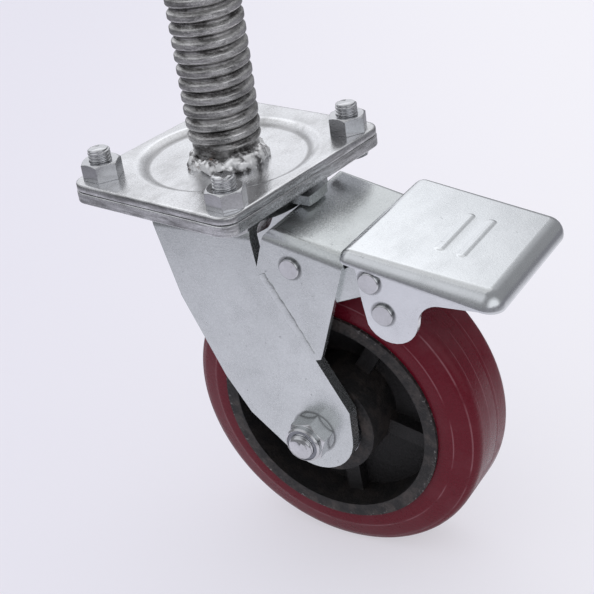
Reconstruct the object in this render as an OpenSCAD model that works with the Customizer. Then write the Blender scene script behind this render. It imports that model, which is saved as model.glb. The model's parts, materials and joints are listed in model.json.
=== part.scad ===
// Scaffold castor: screw stem on a bolted plate, swivel fork, braked wheel.
// Heights are measured from the joint between the two plates, then the whole
// castor is lowered so that the origin lies at the top of the plain stem end.

/* [Stem] */
// Diameter over the thread crests
stem_d = 33; // [28:0.5:40]
// Depth of the rolled thread
thread_depth = 1.4; // [0.8:0.1:2]
// Rise of one thread turn
thread_pitch = 6.1; // [5:0.1:8]
// Number of helix turns, run-outs included
thread_turns = 14; // [8:1:18]
// Diameter of the plain upper end
stem_plain_d = 30.6; // [29.5:0.1:32]
// Length of the plain upper end
stem_plain_len = 33.5; // [20:0.5:60]
// Chamfer on the top of the stem
stem_chamfer = 2; // [1:0.5:4]
// Height of the plain neck between plate and thread
stem_neck_len = 7.1; // [5:0.1:16]
// Width of the weld bead on the plate
weld_leg = 4.2; // [3:0.2:8]

/* [Plates] */
// Plate size along the trail direction
plate_x = 93.6; // [86:0.2:110]
// Plate size along the axle direction
plate_y = 110.4; // [100:0.2:126]
// Corner radius of both plates
plate_corner_r = 8; // [4:0.5:10]
// Thickness of the stem plate
stem_plate_t = 4; // [3:0.25:6]
// Thickness of the castor plate
castor_plate_t = 5; // [4:0.25:8]
// Depth of the round dish in the stem plate
dish_depth = 2.6; // [1.5:0.1:3]
// Outer radius of the dish
dish_outer_r = 42.2; // [38:0.2:43]
// Radius of the dish floor
dish_floor_r = 36; // [30:0.2:37]
// How far the plates are turned on the swivel at rest, in degrees
plate_turn = -7.6; // [-20:0.1:20]

/* [Plate bolts] */
// Bolt centre to the plate edge, along the trail direction
bolt_edge_x = 10.3; // [9.5:0.1:13]
// Bolt centre to the plate edge, along the axle direction
bolt_edge_y = 12.5; // [9.5:0.1:15]
// Bolt diameter
bolt_d = 10; // [8:0.5:11]
// Width across flats of heads and nuts
bolt_af = 16; // [15:0.5:18]
// Height of the bolt heads
bolt_head_h = 2.8; // [2:0.2:6.4]
// Height of the nuts
bolt_nut_h = 8; // [6:0.2:10]
// Bolt end above the nut
bolt_proud = 5.4; // [2:0.2:9]

/* [Swivel] */
// Diameter of the upper balls
upper_ball_d = 6; // [5:0.25:6.5]
// Number of upper balls
upper_ball_count = 28; // [16:1:30]
// Diameter of the lower balls
lower_ball_d = 5; // [4:0.25:5.5]
// Number of lower balls
lower_ball_count = 16; // [10:1:18]
// Shank diameter of the kingpin
kingpin_d = 20; // [16:0.5:22]
// Width across flats of the kingpin nut
kingpin_nut_af = 30; // [27:0.5:34]
// Height of the kingpin nut
kingpin_nut_h = 10; // [8:0.5:14]
// Thickness of the fork crown
crown_t = 4.5; // [4:0.25:6]

/* [Fork] */
// Trail, from swivel axis to axle
trail = 48.75; // [44:0.05:53]
// Clear height between crown and tyre
tyre_clear = 24.85; // [22:0.05:26.5]
// Sheet thickness of the legs
leg_t = 6; // [4:0.25:7]
// Gap between the hub and each leg
hub_clear = 2; // [1.25:0.25:5]
// Outer bend radius between crown and legs
crown_bend_r = 9; // [7:0.5:11]
// Radius of the leg tip round the axle
leg_tip_r = 20; // [17:0.25:22]
// Back edge of the crown behind the swivel axis
crown_back = 24.4; // [20:0.2:28]
// Front edge of the crown before the swivel axis
crown_front = 28.4; // [24:0.2:32]
// Height of the back knee above the axle
back_knee_rise = 61; // [54:0.5:66]
// Back knee behind the swivel axis
back_knee_back = 14; // [10:0.5:18]
// Height of the back bend above the axle
back_bend_rise = 21; // [17:0.5:26]
// Back bend before the swivel axis
back_bend_front = 3.5; // [0:0.5:7]
// Height of the heel corner above the axle
heel_rise = 3; // [0:0.5:6]
// Heel corner behind the axle
heel_back = 34; // [30:0.5:38]
// Height of the front toe corner above the axle
toe_rise = 14.6; // [11:0.2:19]
// Depth of the front knee below the crown top
front_knee_drop = 21; // [16:0.5:25]
// Front knee before the swivel axis
front_knee_front = 30.6; // [28:0.2:33]

/* [Wheel] */
// Tyre diameter
wheel_d = 150; // [138:0.5:160]
// Tyre width at the sides
tyre_w = 40; // [36:0.5:43]
// Width of the flat tread
tread_w = 31.4; // [26:0.2:34]
// Radius of the crease between side face and shoulder
tyre_crease_r = 63.6; // [61:0.2:67]
// Outer radius of the cast rim
rim_outer_r = 56.2; // [53:0.2:59]
// Thickness of the cast rim
rim_t = 6.2; // [4:0.2:8]
// Width of the cast rim
rim_w = 43.4; // [40:0.2:46]
// Outer radius of the hub
hub_r = 26.5; // [24:0.25:29]
// Length of the hub
hub_len = 52; // [48:0.5:53]
// Thickness of the web between hub and rim
web_t = 6; // [4:0.5:10]
// Number of ribs on each side of the web
rib_count = 5; // [3:1:9]
// Thickness of the ribs
rib_t = 8; // [5:0.5:10]
// Depth of the ribs below the rim face
rib_recess = 12; // [6:0.5:15]
// Angle of the first rib, in degrees
rib_angle = 57.5; // [0:0.5:72]

/* [Bearings and axle] */
// Axle bolt diameter
axle_d = 12; // [10:0.5:13]
// Outer diameter of the axle sleeve
sleeve_d = 17; // [15.5:0.25:18]
// Bearing outer diameter
bearing_d = 40; // [38:0.5:42]
// Bearing width
bearing_w = 12; // [10:0.5:14]
// Thickness of the bearing rings
bearing_ring_t = 3.1; // [2.8:0.1:3.4]
// Bearing balls in each bearing
bearing_ball_count = 8; // [6:1:9]
// Width across flats of the axle nut and head
axle_af = 18; // [17:0.5:20]
// Height of the axle head
axle_head_h = 7.5; // [6:0.25:9]
// Height of the hexagon of the lock nut
lock_hex_h = 9; // [7:0.25:11]
// Height of the collar of the lock nut
lock_collar_h = 3; // [2:0.25:4]
// Bolt end beyond the lock nut
axle_proud = 3; // [1:0.25:6]

/* [Brake] */
// Sheet thickness of housing and arm
brake_sheet = 3; // [2:0.25:3.5]
// Slope of the housing top, in degrees
housing_slope = 13.5; // [11:0.5:16]
// Top back corner of the housing before the swivel axis
housing_back = 37.2; // [36.8:0.1:40]
// Depth of the top back corner below the plate joint
housing_drop = 12.7; // [12.4:0.1:15]
// Length of the housing top along the slope
housing_len = 39.2; // [37:0.1:40]
// Bend radius of the housing
housing_bend_r = 6; // [5:0.5:7]
// Height of the housing apex above the axle
apex_rise = 40; // [34:0.2:44]
// Housing rivet before the swivel axis
rivet_front = 48; // [46:0.25:52]
// Housing rivet below the plate joint
rivet_drop = 30; // [28:0.25:33]
// Rivet diameter
rivet_d = 8; // [6:0.25:9]
// Rivet head diameter
rivet_head_d = 9.6; // [9:0.1:10]
// Rivet head height
rivet_head_h = 1.6; // [1:0.1:3]
// Pedal pivot before the axle
pivot_front = 40.1; // [38:0.05:43]
// Pedal pivot above the tyre top
pivot_rise = 12.4; // [11.5:0.1:15]
// Radius of the arm end round the pivot
arm_eye_r = 8; // [7:0.25:9]
// Back end of the arm's top, from the housing's back corner
arm_start = 8; // [6:0.5:10]
// Front end of the arm's top, from the housing's front corner
arm_stop = 2; // [1:0.5:4]
// Lower front corner of the arm behind the housing's front corner
arm_toe_back = 8.6; // [6:0.2:11]
// Lower front corner of the arm below the housing's front corner
arm_toe_drop = 23.75; // [21:0.25:26]
// Lower back corner of the arm ahead of the housing rivet
arm_heel_front = 2; // [0:0.5:4]
// Lower back corner of the arm below the housing rivet
arm_heel_drop = 12; // [10:0.5:14]
// Back end of the arm behind the housing rivet
arm_tail_back = 8; // [7:0.5:9]
// Back end of the arm below the housing rivet
arm_tail_drop = 2; // [0:0.5:4]
// Brake roller ahead of the pivot
roller_front = 5.2; // [4:0.1:7]
// Brake roller below the pivot
roller_drop = 14.2; // [13.8:0.1:16]
// Gap between roller and tread with the brake off
roller_gap = 2.85; // [2.7:0.05:4]
// Length of the roller barrel
roller_len = 34; // [24:1:40]
// Slope of the pedal, in degrees
pedal_slope = 8.8; // [7:0.1:10]
// Pedal length along its slope
pedal_len = 73.25; // [66:0.25:84]
// Pedal rim beyond the side of the housing
pedal_overhang = 5.5; // [5:0.25:12]
// Depth of the rolled pedal rim at the back
pedal_depth = 5.5; // [5.25:0.05:6]
// Depth of the rolled pedal rim at the front
pedal_nose_depth = 8.5; // [8:0.1:10]
// Sheet thickness of the pedal
pedal_sheet = 2.5; // [2:0.25:2.75]
// Edge radius of the pedal at the back
pedal_edge_r = 5.5; // [4:0.25:5.5]
// Edge radius of the pedal at the front
pedal_nose_r = 8; // [6:0.25:8.25]
// Back edge of the pedal behind its pivot
pedal_back = 13.7; // [13:0.1:14.5]
// Gap between the arm end and the underside of the pedal
pedal_eye_gap = 0.8; // [0.5:0.1:3]
// Radius of the ear lobe
ear_lobe_r = 12.4; // [11:0.2:14]
// Ear lobe centre ahead of the pivot
ear_lobe_front = 8.6; // [7:0.2:11]
// Ear lobe centre below the pivot
ear_lobe_drop = 15.3; // [13:0.1:17]
// Back root of the ear behind the pivot
ear_root_back = 5.9; // [5:0.1:7]
// Back root of the ear above the pivot
ear_root_rise = 4; // [3:0.25:5]
// Back edge of the ear behind the pivot, lower down
ear_neck_back = 4.6; // [4:0.1:6]
// Depth of that place below the pivot
ear_neck_drop = 9; // [7:0.5:11]
// Radius of the hollow before the ear lobe
ear_hollow_r = 10.5; // [8:0.25:12]
// Centre of that hollow below the lobe's centre
ear_hollow_drop = 1.2; // [0.5:0.1:3]
// Front end of the side flange before the ear lobe
ear_flange_len = 30; // [24:0.5:34]
// Lower edge of the flange above the lobe's centre
ear_flange_rise = 10; // [8:0.25:12]
// Length of the pressed ribs on the pedal
pedal_rib_len = 36; // [24:1:46]
// Width of the pressed ribs on the pedal
pedal_rib_w = 5; // [3:0.5:6]
// Distance between the pressed ribs
pedal_rib_pitch = 10; // [8:0.5:14]
// Height of the pressed ribs
pedal_rib_h = 0.5; // [0.3:0.1:1.2]
// Middle of the ribs from the back edge of the pedal
pedal_rib_mid = 41.1; // [34:0.1:46]

/* [Hidden] */
$fn = 64;
hull_fn = 32;
arc_steps = 12;
// Radial clearance of pins and bolts in their holes
pin_clear = 0.05;
// Clearance of balls in their grooves
ball_clear = 0.1;
// Clearance between faces that swivel past each other
swivel_gap = 1;
// Bolt holes in the plates are wider than the bolts
plate_hole_clear = 0.5;
// Space between the nested dishes
dish_clear = 0.2;
// Overlap that joins the stretches of one piece
join = 1;
groove_depth = 1;

// Stem heights
stem_foot_z = stem_plate_t - dish_depth;
thread_root_r = stem_d / 2 - thread_depth;
neck_r = thread_root_r + 0.3;
thread_z = stem_foot_z + stem_neck_len;
thread_top_z = thread_z + thread_pitch * thread_turns;
stem_top_z = thread_top_z + stem_plain_len;
thread_steps = 20;
// Where root, crest, crest and root lie in one turn, as shares of the pitch
thread_lines = [0.02, 0.14, 0.7, 0.84];

// Plates and bolts
bolt_x = plate_x / 2 - bolt_edge_x;
bolt_y = plate_y / 2 - bolt_edge_y;
bolt_corner_r = bolt_af / 2 / cos(30);
bolt_circle_r = norm([bolt_x, bolt_y]);
bolt_places = [for (sx = [-1, 1], sy = [-1, 1]) [sx * bolt_x, sy * bolt_y]];
bolt_tip_z = stem_plate_t + bolt_nut_h + bolt_proud;

// Swivel heights, from the plate joint down
nose_r = bolt_circle_r - bolt_corner_r - swivel_gap;
crown_r = nose_r - 9;
crown_rim_t = 2.5;
race_r = crown_r - crown_rim_t - swivel_gap;
upper_ball_r = upper_ball_d / 2;
upper_pitch_r = race_r - upper_ball_r - 0.5;
race_z = -castor_plate_t - 2;
upper_ball_z = race_z + groove_depth - upper_ball_r;
crown_top_z = upper_ball_z - upper_ball_r + groove_depth;
crown_bottom_z = crown_top_z - crown_t;
lower_ball_r = lower_ball_d / 2;
kingpin_r = kingpin_d / 2;
lower_pitch_r = kingpin_r + lower_ball_r + 4.5;
lower_ball_z = crown_bottom_z + groove_depth - lower_ball_r;
lower_race_z = lower_ball_z - lower_ball_r + groove_depth;
lower_race_t = 3.5;
lower_race_r = lower_pitch_r + lower_ball_r + 2;
kingpin_nut_z = lower_race_z - lower_race_t;
kingpin_head_r = kingpin_r + 5;
kingpin_head_h = 2.5;
kingpin_head_z = -dish_depth - dish_clear - kingpin_head_h - 0.2;
kingpin_end_z = kingpin_nut_z - kingpin_nut_h - 1.5;

// Wheel and axle
wheel_r = wheel_d / 2;
axle_z = crown_bottom_z - tyre_clear - wheel_r;
axle_r = axle_d / 2;
sleeve_r = sleeve_d / 2;
leg_gap = hub_len + 2 * hub_clear;
leg_inner_y = leg_gap / 2;
leg_outer_y = leg_inner_y + leg_t;
bearing_r = bearing_d / 2;
bearing_face_y = hub_len / 2 - 0.5;
bearing_mid_y = bearing_face_y - bearing_w / 2;
bearing_bore_r = sleeve_r + pin_clear;
bearing_pitch_r = (bearing_r + bearing_bore_r) / 2;
bearing_gap = bearing_r - bearing_bore_r - 2 * bearing_ring_t;
bearing_ball_r = bearing_gap / 2 + 0.6;
shield_t = 1;
axle_corner_r = axle_af / 2 / cos(30);
lock_collar_r = axle_af / 2 - 0.2;
lock_nut_h = lock_hex_h + lock_collar_h;
insert_r = lock_collar_r - 1.1;
insert_h = 2.2;

// Leg corners, as x and z
leg_top_back = [-crown_back, crown_top_z];
leg_back_knee = [-back_knee_back, axle_z + back_knee_rise];
leg_back_bend = [back_bend_front, axle_z + back_bend_rise];
leg_heel = [trail - heel_back, axle_z + heel_rise];
heel_angle = atan2(heel_rise, -heel_back) + acos(leg_tip_r / norm([heel_rise, heel_back]));
leg_toe = [trail + leg_tip_r, axle_z + toe_rise];
leg_front_knee = [front_knee_front, crown_top_z - front_knee_drop];
leg_top_front = [crown_front, crown_top_z];

// Brake places, as x and z
housing_top = [housing_back, -housing_drop];
housing_front = housing_top + housing_len * [cos(housing_slope), -sin(housing_slope)];
leg_edge_run = (leg_toe - leg_front_knee) / (leg_toe.y - leg_front_knee.y);
function leg_front_edge(z) = leg_front_knee.x + leg_edge_run.x * (z - leg_front_knee.y);
housing_apex = [leg_front_edge(axle_z + apex_rise), axle_z + apex_rise];
housing_foot = leg_front_knee;
housing_back_run = housing_top - housing_foot;
housing_tail = housing_apex + [4, 3.7];
housing_lip_end = 0.45;
housing_outer_y = leg_outer_y;
housing_inner_y = housing_outer_y - brake_sheet;
arm_outer_y = housing_inner_y;
arm_inner_y = arm_outer_y - brake_sheet;
rivet_r = rivet_d / 2;
housing_rivet = [rivet_front, -rivet_drop];
pivot = [trail + pivot_front, axle_z + wheel_r + pivot_rise];
roller_axis = pivot + [roller_front, -roller_drop];
roller_reach = norm([roller_axis.x - trail, roller_axis.y - axle_z]);
roller_r = roller_reach - wheel_r - roller_gap;
roller_neck_r = rivet_r + 1.5;
pedal_w = 2 * (housing_outer_y + pedal_overhang);
pedal_outer_y = pedal_w / 2;
// The ears stand a little inside the pedal's rim
ear_seat = 1.5;
ear_outer_y = pedal_outer_y - ear_seat;
ear_inner_y = ear_outer_y - pedal_sheet;
ear_lobe = pivot + [ear_lobe_front, -ear_lobe_drop];
// Height of the pedal's back top edge above the pivot
pedal_rise = (arm_eye_r + pedal_eye_gap + pedal_sheet) / cos(pedal_slope) + pedal_back * tan(pedal_slope);
side_clear = 0.3;
// The arm's web lies this far below the housing top, clear of the inner bend
arm_drop = housing_bend_r - brake_sheet;

// Points of an arc about a centre, from one angle to another
function arc(centre, r, from, to, steps = arc_steps) =
    [for (i = [0 : steps]) centre + r * [cos(from + (to - from) * i / steps),
                                         sin(from + (to - from) * i / steps)]];

// Everything below is drawn about the plate joint and lowered to the stem mount
module lift() { translate([0, 0, -stem_top_z]) children(); }
module turned() { lift() rotate([0, 0, plate_turn]) children(); }
module at_axle() { lift() translate([trail, 0, axle_z]) rotate([-90, 0, 0]) children(); }
module across(place) { lift() translate([place.x, 0, place.y]) rotate([-90, 0, 0]) children(); }
module both_sides() { children(); mirror([0, 1, 0]) children(); }

// A side outline in x and z, drawn out along y between two distances
module side_slab(points, y_from, y_to) {
    translate([0, y_to, 0]) rotate([90, 0, 0]) linear_extrude(y_to - y_from) polygon(points);
}

module ring(r_out, r_in, h) {
    difference() {
        cylinder(r = r_out, h = h);
        translate([0, 0, -join]) cylinder(r = r_in, h = h + 2 * join);
    }
}

module hexagon(af, h) { cylinder(r = af / 2 / cos(30), h = h, $fn = 6); }

// A hexagon with its upper corners turned off at 30 degrees
module chamfered_hexagon(af, h) {
    top_r = af / 2 * 0.96;
    intersection() {
        hexagon(af, h);
        cylinder(r1 = top_r + h / tan(30), r2 = top_r, h = h);
    }
}

module shank(r, h, chamfer) {
    cylinder(r = r, h = h - chamfer);
    translate([0, 0, h - chamfer]) cylinder(r1 = r, r2 = r - chamfer, h = chamfer);
}

// A torus that cuts a ball groove
module groove(pitch_r, ball_r) {
    rotate_extrude() translate([pitch_r, 0]) circle(r = ball_r + ball_clear);
}

module ball_ring(pitch_r, ball_r, count) {
    for (i = [0 : count - 1]) rotate([0, 0, 360 * i / count]) translate([pitch_r, 0, 0]) sphere(r = ball_r);
}

module plate_outline() {
    x = plate_x / 2;
    y = plate_y / 2;
    r = plate_corner_r;
    polygon(concat(arc([x - r, y - r], r, 0, 90), arc([r - x, y - r], r, 90, 180),
                   arc([r - x, r - y], r, 180, 270), arc([x - r, r - y], r, 270, 360)));
}

module bolt_holes(from_z, to_z) {
    for (p = bolt_places) translate([p.x, p.y, from_z])
        cylinder(r = bolt_d / 2 + plate_hole_clear, h = to_z - from_z);
}

// The thread is a helix of four lines: root, crest, crest, root in each turn.
// The rolled crest is wide and the groove between two turns is narrow.
// It fades to the root over the first and last half turn.
function thread_fade(k, last) = min(1, k / 10, (last - k) / 10);
function thread_point(k, line, last) =
    let (r = thread_root_r + (line == 1 || line == 2 ? thread_depth * thread_fade(k, last) : 0),
         a = 360 * k / thread_steps,
         z = thread_pitch * (k / thread_steps + thread_lines[line]))
    [r * cos(a), r * sin(a), z];

module thread() {
    n = thread_steps;
    count = n * (thread_turns - 1);
    last = count - 1;
    height = thread_pitch * thread_turns;
    helix = [for (k = [0 : last], line = [0 : 3]) thread_point(k, line, last)];
    bottom = [for (i = [0 : n - 1]) thread_root_r * [cos(360 * i / n), sin(360 * i / n)]];
    b = len(helix);
    t = b + n;
    points = concat(helix, [for (p = bottom) [p.x, p.y, -join]],
                    [for (p = bottom) [p.x, p.y, height + join]]);
    function q(k, line) = 4 * k + line;
    strips = [for (k = [0 : last - 1], line = [0 : 2])
                 [q(k, line), q(k, line + 1), q(k + 1, line + 1), q(k + 1, line)]];
    roots = [for (k = [0 : last - 1 - n]) [q(k, 3), q(k + n, 0), q(k + n + 1, 0), q(k + 1, 3)]];
    foot = [for (k = [0 : n - 2]) [b + k, q(k, 0), q(k + 1, 0), b + k + 1]];
    foot_seam = [[b + n - 1, q(n - 1, 0), q(n, 0), q(0, 3), q(0, 2), q(0, 1), q(0, 0), b]];
    first = count - n;
    head = [for (i = [0 : n - 2]) [q(first + i, 3), t + i, t + i + 1, q(first + i + 1, 3)]];
    head_seam = [[t, q(first, 3), q(first - 1, 3), q(last, 0), q(last, 1), q(last, 2), q(last, 3),
                  t + n - 1]];
    caps = [[for (i = [0 : n - 1]) b + i], [for (i = [n - 1 : -1 : 0]) t + i]];
    polyhedron(points, concat(strips, roots, foot, foot_seam, head, head_seam, caps));
}

module screw_stem() {
    color("silver") lift() {
        translate([0, 0, stem_foot_z]) cylinder(r = neck_r, h = stem_neck_len);
        translate([0, 0, thread_z]) thread();
        translate([0, 0, thread_top_z]) shank(stem_plain_d / 2, stem_plain_len + stem_chamfer, stem_chamfer);
    }
}

// The bead is a ring with a full outer face and a bulge
module stem_weld() {
    color("gainsboro") lift() translate([0, 0, stem_foot_z]) rotate_extrude()
        polygon(concat([[neck_r, 0]], [for (a = [0 : 15 : 90])
            [neck_r + weld_leg * pow(cos(a), 0.8), stem_neck_len * pow(sin(a), 0.8)]]));
}

module stem_plate() {
    color("lightgray") turned() difference() {
        union() {
            linear_extrude(stem_plate_t) plate_outline();
            translate([0, 0, -dish_depth]) cylinder(r1 = dish_floor_r, r2 = dish_outer_r, h = dish_depth);
        }
        translate([0, 0, stem_foot_z]) cylinder(r1 = dish_floor_r, r2 = dish_outer_r, h = dish_depth);
        bolt_holes(-join, stem_plate_t + join);
    }
}

module castor_plate() {
    color("darkgray") turned() difference() {
        union() {
            translate([0, 0, -castor_plate_t]) linear_extrude(castor_plate_t) plate_outline();
            translate([0, 0, race_z]) cylinder(r = race_r, h = castor_plate_t);
        }
        translate([0, 0, -dish_depth - dish_clear])
            cylinder(r1 = dish_floor_r + dish_clear, r2 = dish_outer_r + dish_clear,
                     h = dish_depth + dish_clear);
        translate([0, 0, kingpin_head_z]) cylinder(r = kingpin_head_r + pin_clear, h = castor_plate_t);
        translate([0, 0, race_z - join]) cylinder(r = kingpin_r + pin_clear, h = castor_plate_t + 2 * join);
        translate([0, 0, upper_ball_z]) groove(upper_pitch_r, upper_ball_r);
        bolt_holes(-castor_plate_t - join, join);
    }
}

module plate_bolts() {
    color("silver") turned() for (p = bolt_places) translate([p.x, p.y, -castor_plate_t]) {
        rotate([180, 0, 0]) chamfered_hexagon(bolt_af, bolt_head_h);
        shank(bolt_d / 2, castor_plate_t + bolt_tip_z, 1);
    }
}

module plate_nuts() {
    color("silver") turned() for (p = bolt_places) translate([p.x, p.y, stem_plate_t]) difference() {
        chamfered_hexagon(bolt_af, bolt_nut_h);
        translate([0, 0, -join]) cylinder(r = bolt_d / 2 + pin_clear, h = bolt_nut_h + 2 * join);
    }
}

module kingpin() {
    color("dimgray") turned() {
        translate([0, 0, kingpin_head_z]) cylinder(r = kingpin_head_r, h = kingpin_head_h);
        translate([0, 0, kingpin_head_z]) rotate([180, 0, 0])
            shank(kingpin_r, kingpin_head_z - kingpin_end_z, 1.5);
    }
}

module kingpin_nut() {
    color("dimgray") turned() translate([0, 0, kingpin_nut_z]) rotate([180, 0, 0]) difference() {
        chamfered_hexagon(kingpin_nut_af, kingpin_nut_h);
        translate([0, 0, -join]) cylinder(r = kingpin_r + pin_clear, h = kingpin_nut_h + 2 * join);
    }
}

module lower_race() {
    color("gray") turned() difference() {
        translate([0, 0, kingpin_nut_z]) ring(lower_race_r, kingpin_r + pin_clear, lower_race_t);
        translate([0, 0, lower_ball_z]) groove(lower_pitch_r, lower_ball_r);
    }
}

module upper_balls() {
    color("lightsteelblue") lift() translate([0, 0, upper_ball_z])
        ball_ring(upper_pitch_r, upper_ball_r, upper_ball_count);
}

module lower_balls() {
    color("lightsteelblue") lift() translate([0, 0, lower_ball_z])
        ball_ring(lower_pitch_r, lower_ball_r, lower_ball_count);
}

// Section of the bent fork across the trail: crown above, legs to both sides
module fork_section() {
    y = leg_outer_y;
    r = crown_bend_r;
    inner_r = r - crown_t;
    low = axle_z - leg_tip_r - join;
    outside = concat([[y, low]], arc([y - r, crown_top_z - r], r, 0, 90),
                     arc([r - y, crown_top_z - r], r, 90, 180), [[-y, low]]);
    inside = concat([[-leg_inner_y, low]],
                    arc([inner_r - leg_inner_y, crown_bottom_z - inner_r], inner_r, 180, 90),
                    arc([leg_inner_y - inner_r, crown_bottom_z - inner_r], inner_r, 90, 0),
                    [[leg_inner_y, low]]);
    polygon(concat(outside, inside));
}

function leg_outline() = concat([leg_top_back, leg_back_knee, leg_back_bend, leg_heel],
    arc([trail, axle_z], leg_tip_r, heel_angle, 360), [leg_toe, leg_front_knee, leg_top_front]);

module fork() {
    nose_w = 16;
    color("lightslategray") lift() difference() {
        union() {
            intersection() {
                translate([-wheel_r, 0, 0]) rotate([90, 0, 90])
                    linear_extrude(3 * wheel_r) fork_section();
                side_slab(leg_outline(), -leg_outer_y - join, leg_outer_y + join);
            }
            translate([0, 0, crown_bottom_z]) cylinder(r = crown_r, h = crown_t);
            translate([0, 0, crown_bottom_z])
                ring(crown_r, crown_r - crown_rim_t, -castor_plate_t - swivel_gap - crown_bottom_z);
            translate([0, 0, crown_bottom_z + crown_rim_t]) intersection() {
                cylinder(r = nose_r, h = crown_t);
                translate([crown_r - crown_rim_t / 2, -nose_w / 2, -join])
                    cube([nose_r, nose_w, crown_t + 2 * join]);
            }
        }
        translate([0, 0, crown_bottom_z - join]) cylinder(r = kingpin_r + side_clear, h = crown_t + 2 * join);
        translate([0, 0, upper_ball_z]) groove(upper_pitch_r, upper_ball_r);
        translate([0, 0, lower_ball_z]) groove(lower_pitch_r, lower_ball_r);
        translate([trail, -leg_outer_y - join, axle_z]) rotate([-90, 0, 0])
            cylinder(r = axle_r + pin_clear, h = 2 * (leg_outer_y + join));
    }
}

// Where two edges meet in a rounded corner: arc points from the first edge to the second
function fillet(corner, from_dir, to_dir, r, steps) =
    let (u = from_dir / norm(from_dir),
         v = to_dir / norm(to_dir),
         half = acos(u * v) / 2,
         mid = (u + v) / norm(u + v),
         centre = corner + mid * r / sin(half),
         first = corner + u * r / tan(half) - centre,
         last = corner + v * r / tan(half) - centre,
         from = atan2(first.y, first.x),
         turn = atan2(first.x * last.y - first.y * last.x, first * last))
    arc(centre, r, from, from + turn, steps);

// Housing outline: back edge, rounded top corner, sloping top, front edge to the apex
function housing_outline() =
    concat([housing_foot],
           fillet(housing_top, -housing_back_run, housing_front - housing_top, housing_bend_r, 8),
           [housing_front, housing_tail, (housing_tail + housing_apex) / 2 + [0.8, -1], housing_apex]);

// The space between the side sheets, open at the front and below the back lip
function housing_space() =
    let (slope = (housing_front - housing_top) / housing_len,
         back = -housing_back_run / norm(housing_back_run),
         inner = housing_top + brake_sheet * (slope + back) / sin(acos(slope * back)),
         lip = inner + housing_lip_end * norm(housing_back_run) * back)
    concat([lip], fillet(inner, back, slope, housing_bend_r - brake_sheet, 6),
           [inner + housing_len * slope, [housing_front.x + 10, housing_apex.y - 5],
            [housing_foot.x - 10, housing_apex.y - 5], [housing_foot.x - 10, lip.y]]);

// The rounded section of the housing, drawn along its sloping top
module housing_tunnel(half_w, drop, r) {
    translate([housing_top.x, 0, housing_top.y]) rotate([0, housing_slope, 0])
        translate([-housing_len, 0, -wheel_r - drop]) rotate([90, 0, 90]) linear_extrude(3 * housing_len)
            polygon(concat([[half_w, 0]], arc([half_w - r, wheel_r - r], r, 0, 90, 6),
                           arc([r - half_w, wheel_r - r], r, 90, 180, 6), [[-half_w, 0]]));
}

module brake_housing() {
    color("lightsteelblue") lift() difference() {
        intersection() {
            side_slab(housing_outline(), -housing_outer_y, housing_outer_y);
            housing_tunnel(housing_outer_y, 0, housing_bend_r);
        }
        intersection() {
            side_slab(housing_space(), -housing_outer_y, housing_outer_y);
            housing_tunnel(housing_inner_y, brake_sheet, housing_bend_r - brake_sheet);
        }
        translate([housing_rivet.x, -leg_outer_y - join, housing_rivet.y]) rotate([-90, 0, 0])
            cylinder(r = rivet_r + pin_clear, h = 2 * (leg_outer_y + join));
    }
}

// The arm lies inside the housing and reaches forward to the pivot.
// Its flanges stop below the bend of the housing.
arm_slope = [cos(housing_slope), -sin(housing_slope)];
arm_under = housing_top - [0, (brake_sheet + arm_drop) / cos(housing_slope)];
function arm_outline() =
    concat([arm_under + arm_start * arm_slope, arm_under + (housing_len - arm_stop) * arm_slope],
           arc(pivot, arm_eye_r, 130, -70, 10),
           [housing_front - [arm_toe_back, arm_toe_drop], housing_rivet + [arm_heel_front, -arm_heel_drop],
            housing_rivet - [arm_tail_back, arm_tail_drop]]);

module brake_arm() {
    web_low = [0, brake_sheet / cos(housing_slope)];
    web_end = arm_under + (housing_len - 2 * arm_stop) * arm_slope;
    color("gray") lift() difference() {
        side_slab(arm_outline(), -arm_outer_y, arm_outer_y);
        side_slab([arm_under - arm_start / 2 * arm_slope - web_low, web_end - web_low, web_end + [0, wheel_r],
                   pivot + [wheel_r, wheel_r], pivot + [wheel_r, -wheel_r], arm_under - [wheel_r, wheel_r]],
                  -arm_inner_y, arm_inner_y);
        for (p = [pivot, housing_rivet]) translate([p.x, -leg_outer_y, p.y]) rotate([-90, 0, 0])
            cylinder(r = rivet_r + pin_clear, h = 2 * leg_outer_y);
    }
}

// A rivet across the castor, with a flat head at each end
module cross_rivet(half_len) {
    translate([0, 0, -half_len]) cylinder(r = rivet_r, h = 2 * half_len);
    for (s = [0, 1]) mirror([0, 0, s]) translate([0, 0, half_len]) shank(rivet_head_d / 2, rivet_head_h, 0.4);
}

module housing_rivet_pin() { color("silver") across(housing_rivet) cross_rivet(housing_outer_y); }
module pivot_rivet() { color("silver") across(pivot) cross_rivet(ear_outer_y); }
module roller_rivet() { color("silver") across(roller_axis) cross_rivet(ear_outer_y); }

module brake_roller() {
    neck_len = ear_inner_y - side_clear;
    color("dimgray") across(roller_axis) difference() {
        union() {
            translate([0, 0, -neck_len]) cylinder(r = roller_neck_r, h = 2 * neck_len);
            translate([0, 0, -roller_len / 2]) cylinder(r = roller_r, h = roller_len);
        }
        translate([0, 0, -neck_len - join]) cylinder(r = rivet_r + pin_clear, h = 2 * (neck_len + join));
    }
}

module axle_bolt() {
    reach = leg_outer_y + lock_nut_h + axle_proud;
    color("silver") at_axle() {
        translate([0, 0, leg_outer_y]) chamfered_hexagon(axle_af, axle_head_h);
        translate([0, 0, leg_outer_y]) rotate([180, 0, 0]) shank(axle_r, leg_outer_y + reach, 1.2);
    }
}

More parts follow.
